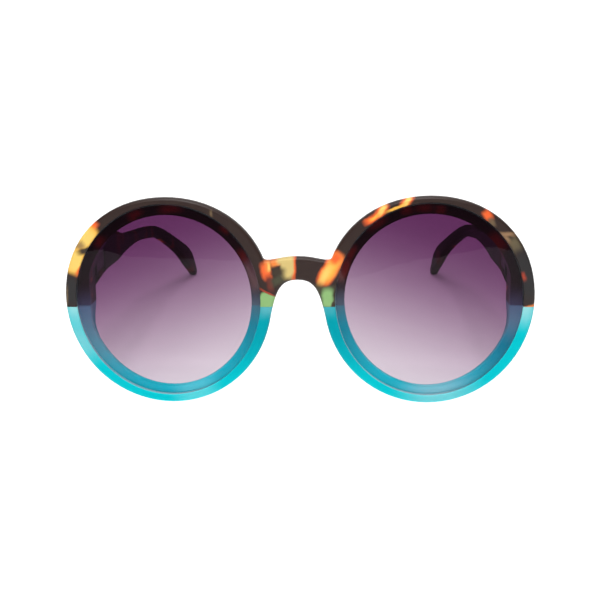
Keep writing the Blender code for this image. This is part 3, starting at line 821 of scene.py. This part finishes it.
def front_tortoise():
    """The upper sheet: dark brown, with drawn patches on face and ledge and noise patches behind.

    Towards the seam the ledge takes on the blue of the sheet below it.
    """
    finish = Finish("tortoise_front")
    colours = bpy.context.scene.sunglasses_acetate
    hues = {
        "gold": colours.tortoise_gold,
        "amber": colours.tortoise_amber,
        "orange": (0.88, 0.24, 0.045),
        "ember": colours.tortoise_ember,
        "maroon": (0.36, 0.045, 0.020),
        "cream": colours.tortoise_cream,
        "straw": (0.36, 0.22, 0.075),
        "sand": (0.16, 0.105, 0.055),
        "taupe": (0.38, 0.29, 0.21),
        "clay": (0.46, 0.23, 0.15),
        "slate": (0.021, 0.019, 0.020),
        "wine": (0.14, 0.022, 0.014),
        "tan": (0.29, 0.165, 0.085),
        "olive": colours.tortoise_olive,
        "moss": (0.060, 0.058, 0.032),
        "brown": (0.045, 0.030, 0.018),
        "green": colours.tortoise_green,
    }
    umber, russet, seam_blue = (0.050, 0.030, 0.018), (0.09, 0.045, 0.037), (0.19, 0.37, 0.42)
    place = finish.front_place()
    depth, height = finish.axes(place)[1:]
    behind = finish.behind_lens(place)
    clouds = finish.noise(place, 0.0060, detail=3, distortion=0.6)
    # The noise makes patches only at the rear, because the field is raised in front of it
    field = 2.9 - 3.1 * clouds + 2 * (1 - depth.rise(*REAR_START)) + behind * 0.4
    base = tortoise_ramp(finish, field, place)
    base = finish.mix(clouds.rise(0.3, 0.7) * 0.35, base, finish.mix(0.5, base, umber))
    drawn = finish.wandered(finish.wandered(place, 0.0035, 0.0011), 0.0010, 0.0002)
    face = finish.patched(base, drawn, traced(FACE_STROKES, 0), hues)
    ledge = finish.mix(0.4, base, russet)
    ledge = finish.patched(ledge, drawn, traced(LEDGE_STROKES, LEDGE_DEPTH), hues)
    ledge = finish.mix(height.rise(0.0055, -0.0025) * 0.9, ledge, seam_blue)
    return finish.surface(satin(finish, place, finish.mix(behind, face, ledge)))


def temple_tortoise():
    """The temples' sheet: patches along the outer face and dull bands on the inner one."""
    finish = Finish("tortoise_temple")
    colours = bpy.context.scene.sunglasses_acetate
    place = finish.front_place()
    along = finish.vectors("MULTIPLY", place, (0.6, 0.55, 1.0))
    drawn = finish.wandered(along, 0.0045, 0.0022)
    patches = finish.noise(drawn, 0.0085, detail=2, distortion=0.5)
    # Plain dark brown, but for a patch wherever the noise is high
    field = 1.24 - 4.4 * (patches - 0.555).higher(0)
    outer = tortoise_ramp(finish, field, along)
    banded = finish.vectors("MULTIPLY", drawn, (0.2, 1.6, 0.3))
    bands = finish.noise(banded, 0.0060, detail=1).rise(0.58, 0.70)
    inner = finish.mix(bands * 0.5, colours.tortoise_dark, colours.tortoise_maroon)
    turned, across = finish.axes(finish.object_turn())[0], finish.axes(place)[0]
    inward = (turned * across).rise(0.03, -0.03)
    return finish.surface(satin(finish, place, finish.mix(inward, outer, inner), shine=0.05))


def lower_turquoise():
    """The lower sheet: painted highlight under the seam, painted shade by the nose, painted glow on the ledge."""
    finish = Finish("turquoise_lower")
    colours = bpy.context.scene.sunglasses_acetate
    face_hues = {"foam": (0.17, 0.57, 0.62), "mist": (0.09, 0.59, 0.64)}
    ledge_hues = {"foam": (0.33, 0.90, 0.98), "mist": (0.12, 0.90, 1.0), "teal": (0.0, 0.62, 0.72)}
    # The ledge behind the lens is painted brighter than the face as painted light, with painted shade by the nose
    # and a painted highlight beside the temple
    ledge_painted_light, ledge_painted_shade = (0.0, 0.72, 0.82), (0.0, 0.44, 0.53)
    ledge_side_highlight, ledge_seam = (0.32, 0.88, 0.86), (0.11, 0.42, 0.47)
    place = finish.front_place()
    across, _, height = finish.axes(finish.wandered(place, 0.006, 0.002))
    outward = abs(across) - RIM_SPACING / 2
    # Painted shade: darker low down beside the nose
    deep = outward.rise(-0.008, -0.026) * height.rise(-0.030, -0.010)

    # Painted highlight: paler under the seam on the outer side near the lens, and faintly beside the nose
    near_lens = finish.rim_reach(place).rise(1.18, 1.05)
    temporal_highlight = height.rise(-0.011, -0.001) * outward.rise(0.018, 0.027) * near_lens
    nasal = height.rise(-0.007, -0.002) * outward.rise(-0.026, -0.030)
    pale = temporal_highlight.higher(nasal * (0.17 + 0.16 * across.rise(0.0, -0.001)))
    # Lays the painted shade, the painted highlight and the painted foot highlights over the turquoise
    face = finish.mix(deep * 0.9, colours.turquoise, colours.turquoise_shade)
    face = finish.mix(pale * 0.75, face, colours.turquoise_highlight)
    face = finish.patched(face, place, FACE_HIGHLIGHTS, face_hues)

    # Painted highlight on the ledge beside the temple
    temple_side_highlight = outward.rise(0.002, 0.026) * height.rise(-0.031, -0.006)
    under_seam = height.rise(-0.009, -0.0015) * outward.rise(0.0, -0.02)
    ledge = finish.mix(deep * 0.8, ledge_painted_light, ledge_painted_shade)
    ledge = finish.mix(temple_side_highlight, ledge, ledge_side_highlight)
    ledge = finish.patched(ledge, place, LEDGE_PAINTED_LIGHT, ledge_hues)
    ledge = finish.mix(under_seam, ledge, ledge_seam)

    behind = finish.behind_lens(place)
    # Painted glow: the ledge behind the lens gives off light of its own
    glow = finish.mix(behind, (0, 0, 0), ledge)
    return finish.surface(
        satin(
            finish,
            place,
            finish.mix(behind, face, ledge),
            Subsurface_Weight=0.25,
            Subsurface_Radius=(0.2, 1.0, 1.0),
            Subsurface_Scale=0.0015,
            Specular_Tint=(0.1, 1, 1),
            Emission_Color=glow,
            Emission_Strength=0.2,
        )
    )


def lens_tint(finish, glass):
    """What a lens lets through: deep violet above, pale rose below, and darker outwards as painted shade."""
    across, _, height = finish.axes(finish.front_place())
    # Painted shade: the tint grows darker outwards, towards the temples
    level = height + glass.outward_shade * (abs(across) - RIM_SPACING / 2)
    top, bottom = [
        finish.node("ShaderNodeBsdfTransparent", None, {"Color": colour})
        for colour in (glass.tint_top, glass.tint_bottom)
    ]
    fade = level.rise(0.028, -0.0345)
    return finish.node("ShaderNodeMixShader", None, {0: fade, 1: top, 2: bottom})


def lens_face():
    """Polished plastic, which mirrors a little head-on and more and more at a slant."""
    finish = Finish("lens_gradient_tint")
    glass = bpy.context.scene.sunglasses_lens
    mirror = finish.node("ShaderNodeBsdfGlossy", None, {"Color": (1, 1, 1), "Roughness": 0.0})
    slant = finish.node("ShaderNodeLayerWeight", None, {"Blend": 0.5}, output=1)
    share = glass.mirror + (1 - glass.mirror) * slant.maths("POWER", slant, 5.0)
    inputs = {0: share, 1: lens_tint(finish, glass), 2: mirror}
    return finish.surface(finish.node("ShaderNodeMixShader", None, inputs))


def lens_edge():
    """The ground edge round a lens, its pale finish shown mostly below and to the left as a painted highlight."""
    finish = Finish("lens_ground_edge")
    frosted, bright_frosted = (0.50, 0.66, 0.70), (0.62, 0.76, 0.79)
    place = finish.front_place()
    grain = finish.noise(place, 0.0002, detail=2)
    ground = finish.principled(
        Base_Color=finish.mix(grain, frosted, bright_frosted),
        Roughness=0.35,
        Normal=finish.bump(grain, 0.00001, 0.5),
    )
    clear = lens_tint(finish, bpy.context.scene.sunglasses_lens)
    across, _, height = finish.axes(place)
    rightward = (abs(across) - RIM_SPACING / 2) * across.maths("SIGN", across)
    # Painted highlight: the pale ground finish shows most below and towards the left, the clear tint elsewhere
    share = 0.06 + 0.44 * height.rise(0.006, -0.016) * rightward.rise(0.016, -0.004)
    return finish.surface(finish.node("ShaderNodeMixShader", None, {0: share, 1: clear, 2: ground}))


def brushed_metal(name, colour, size, roughness):
    """Metal with fine lines along Y, of a size across, and duller clouds."""
    finish = Finish(name)
    place = finish.front_place()
    drawn = finish.vectors("MULTIPLY", place, (1.0, 0.12, 1.0))
    lines = finish.noise(drawn, size, detail=4)
    dull = finish.noise(place, 0.0012, detail=3).rise(0.35, 0.7)
    dull_colour = tuple(0.78 * value for value in colour)
    return finish.surface(
        finish.principled(
            Base_Color=finish.mix(dull, colour, dull_colour),
            Metallic=1.0,
            Roughness=roughness + 0.16 * lines,
            Normal=finish.bump(lines, 0.000006, 0.5),
        )
    )


class SUNGLASSES_OT_upper_sheet(bpy.types.Operator):
    """Dress the front's tortoise sheet"""

    bl_idname = "sunglasses.upper_sheet"
    bl_label = "Upper sheet"

    def execute(self, context):
        piece = smoothed(copied("front_upper", "upper_sheet"))
        placed(piece, "front_upper", "tortoise_acetate", front_tortoise())
        return {"FINISHED"}


class SUNGLASSES_OT_lower_crescents(bpy.types.Operator):
    """Dress the two turquoise crescents and the nose pads"""

    bl_idname = "sunglasses.lower_crescents"
    bl_label = "Lower crescents and nose pads"

    def execute(self, context):
        turquoise = lower_turquoise()
        for side in SIDES:
            piece = smoothed(copied("front_lower_" + side, "lower_crescent_" + side))
            placed(piece, "front_lower_" + side, "turquoise_acetate", turquoise)
            piece.visible_shadow = False
            pad = smoothed(copied("nose_pad_" + side, "nose_rest_" + side))
            placed(pad, "nose_pad_" + side, "turquoise_acetate", turquoise)
        return {"FINISHED"}


class SUNGLASSES_OT_lenses(bpy.types.Operator):
    """Make the tinted lenses"""

    bl_idname = "sunglasses.lenses"
    bl_label = "Lenses"

    def execute(self, context):
        face, edge = lens_face(), lens_edge()
        to_front = FRONT_TO_TABLE.inverted().to_3x3()
        for side in SIDES:
            piece = smoothed(copied("lens_" + side, "tinted_lens_" + side), LENS_SMOOTH_ANGLE)
            placed(piece, "lens_" + side, "tinted_lens", face, edge)
            for polygon in piece.data.polygons:
                turn = abs((to_front @ polygon.normal).y)
                polygon.material_index = int(turn < LENS_FACE_TURN)
            piece.visible_shadow = False
            piece.visible_diffuse = False
        return {"FINISHED"}


class SUNGLASSES_OT_temples(bpy.types.Operator):
    """Dress the temples and their core wires"""

    bl_idname = "sunglasses.temples"
    bl_label = "Temples"

    def execute(self, context):
        tortoise = temple_tortoise()
        metal = context.scene.sunglasses_metal
        wire = brushed_metal("core_wire", tuple(metal.wire_colour), 0.00012, 0.24)
        for side in SIDES:
            piece = smoothed(copied("temple_" + side, "temple_arm_" + side))
            placed(piece, "temple_" + side, "tortoise_acetate", tortoise)
            core = smoothed(copied("core_wire_" + side, "core_" + side))
            placed(core, "core_wire_" + side, "core_wire_metal", wire)
        return {"FINISHED"}


class SUNGLASSES_OT_hinges(bpy.types.Operator):
    """Dress the hinge leaves and their screws"""

    bl_idname = "sunglasses.hinges"
    bl_label = "Hinges"

    def execute(self, context):
        metal = context.scene.sunglasses_metal
        steel = brushed_metal("hinge_metal", tuple(metal.hinge_colour), 0.00016, 0.30)
        for side in SIDES:
            for kind in ("front_hinge_", "temple_hinge_", "hinge_screw_"):
                piece = copied(kind + side, kind.replace("hinge", "metal") + side)
                apply_modifier(
                    piece,
                    "BEVEL",
                    width=metal.edge_width,
                    segments=2,
                    limit_method="ANGLE",
                    angle_limit=METAL_SMOOTH_ANGLE,
                )
                smoothed(piece, METAL_SMOOTH_ANGLE)
                placed(piece, kind + side, "hinge_metal", steel)
        return {"FINISHED"}


def add_light(name, place, target, size, power):
    light = bpy.data.lights.new(name, "AREA")
    light.shape = "RECTANGLE"
    light.size, light.size_y = size
    light.energy = power
    lamp = bpy.data.objects.new(name, light)
    bpy.context.scene.collection.objects.link(lamp)
    lamp.location = place
    lamp.rotation_euler = (Vector(target) - Vector(place)).to_track_quat("-Z", "Y").to_euler()


def camera_pose(distance):
    """The camera's place and turn, at a distance from its target."""
    right, up, back = camera_axes()
    turn = Matrix((right, up, back)).transposed().to_4x4()
    return FRONT_TO_TABLE @ Matrix.Translation(CAMERA_TARGET + back * distance) @ turn


def make_table(glow):
    """The table top, whose front edge is what the lenses mirror, with some light of its own."""
    nothing_selected()
    edge = table_edge()
    bpy.ops.mesh.primitive_grid_add(x_subdivisions=len(edge) - 1, y_subdivisions=1, size=2)
    table = bpy.context.object
    table.name = "table"
    rows = sorted(table.data.vertices, key=lambda vert: (round(vert.co.y, 3), vert.co.x))
    for front, behind, (x, y) in zip(rows, rows[len(edge):], edge):
        front.co = (x, y, 0)
        behind.co = (x, TABLE_BACK, 0)
    finish = Finish("table_top")
    cloud = finish.noise(finish.object_place(), 0.2)
    depth = finish.axes(finish.object_place())[1]
    bright = depth.rise(*TABLE_BRIGHT_BACK).higher(0.5 * depth.rise(*TABLE_BRIGHT_FRONT))
    shader = finish.principled(
        Base_Color=finish.mix(cloud, (0.86, 0.86, 0.86), (0.88, 0.88, 0.88)),
        Roughness=0.8,
        Emission_Color=finish.mix(bright, (0.5, 0.5, 0.5), (1, 1, 1)),
        Emission_Strength=2 * glow,
        Specular_IOR_Level=0.1,
    )
    table.data.materials.append(finish.surface(shader))


def make_world(sky, backdrop):
    """Plain white to the camera. As light it is soft from above and brighter from behind."""
    world = bpy.data.worlds.new("studio")
    bpy.context.scene.world = world
    world.use_nodes = True
    nodes, links = world.node_tree.nodes, world.node_tree.links
    nodes.clear()
    place = nodes.new("ShaderNodeTexCoord")
    axes = nodes.new("ShaderNodeSeparateXYZ")
    links.new(place.outputs["Generated"], axes.inputs[0])

    def ramp(axis, start, end, first, last):
        level = nodes.new("ShaderNodeMapRange")
        reach = {"From Min": start, "From Max": end, "To Min": first, "To Max": last}
        for name, value in reach.items():
            level.inputs[name].default_value = value
        links.new(axes.outputs[axis], level.inputs["Value"])
        return level

    def mixed(factor, first, second):
        blend = nodes.new("ShaderNodeMix")
        for socket, value in zip((0, 2, 3), (factor, first, second)):
            if isinstance(value, float):
                blend.inputs[socket].default_value = value
            else:
                links.new(value.outputs[0], blend.inputs[socket])
        return blend

    above = ramp("Z", -0.02, 0.05, 0.0, 1.0)
    lit = mixed(above, WORLD_BELOW, ramp("Y", 0.0, 0.6, sky, backdrop))
    path = nodes.new("ShaderNodeLightPath")
    background = nodes.new("ShaderNodeBackground")
    background.inputs["Color"].default_value = (1, 1, 1, 1)
    links.new(mixed(path, lit, WORLD_SEEN).outputs[0], background.inputs["Strength"])
    output = nodes.new("ShaderNodeOutputWorld")
    links.new(background.outputs[0], output.inputs["Surface"])


class SUNGLASSES_OT_stage(bpy.types.Operator):
    """Set the camera, the table and the studio light"""

    bl_idname = "sunglasses.stage"
    bl_label = "Stage"

    def execute(self, context):
        stage = context.scene.sunglasses_stage
        data = bpy.data.cameras.new("camera")
        data.lens = stage.focal_length
        data.sensor_width = SENSOR_WIDTH
        data.clip_start = NEAREST_SEEN
        camera = bpy.data.objects.new("camera", data)
        context.scene.collection.objects.link(camera)
        camera.matrix_world = camera_pose(stage.distance)
        context.scene.camera = camera
        context.scene.view_settings.view_transform = "Standard"
        make_table(stage.table_glow)
        make_world(stage.sky, stage.backdrop)
        for name, (place, target, size) in LAMPS.items():
            add_light(name, place, target, size, getattr(stage, name + "_power"))
        return {"FINISHED"}


class SUNGLASSES_PT_panel(bpy.types.Panel):
    """The steps and settings of the sunglasses"""

    bl_label = "Sunglasses"
    bl_idname = "SUNGLASSES_PT_panel"
    bl_space_type = "VIEW_3D"
    bl_region_type = "UI"
    bl_category = "Sunglasses"

    def draw(self, context):
        for group in ("acetate", "lens", "metal", "stage"):
            settings = getattr(context.scene, "sunglasses_" + group)
            box = self.layout.box()
            for name in settings.__annotations__:
                box.prop(settings, name)
        for operator in OPERATORS:
            self.layout.operator(operator.bl_idname)


SETTINGS = {
    "sunglasses_acetate": AcetateSettings,
    "sunglasses_lens": LensSettings,
    "sunglasses_metal": MetalSettings,
    "sunglasses_stage": StageSettings,
}
OPERATORS = (
    SUNGLASSES_OT_stage,
    SUNGLASSES_OT_upper_sheet,
    SUNGLASSES_OT_lower_crescents,
    SUNGLASSES_OT_lenses,
    SUNGLASSES_OT_temples,
    SUNGLASSES_OT_hinges,
)
CLASSES = (*SETTINGS.values(), *OPERATORS, SUNGLASSES_PT_panel)


def register():
    for cls in CLASSES:
        bpy.utils.register_class(cls)
    for name, group in SETTINGS.items():
        setattr(bpy.types.Scene, name, PointerProperty(type=group))


def unregister():
    for name in SETTINGS:
        delattr(bpy.types.Scene, name)
    for cls in reversed(CLASSES):
        bpy.utils.unregister_class(cls)


def main():
    register()
    bpy.ops.sunglasses.stage()
    bpy.ops.sunglasses.upper_sheet()
    bpy.ops.sunglasses.lower_crescents()
    bpy.ops.sunglasses.lenses()
    bpy.ops.sunglasses.temples()
    bpy.ops.sunglasses.hinges()
    nothing_selected()


if __name__ == "__main__":
    main()
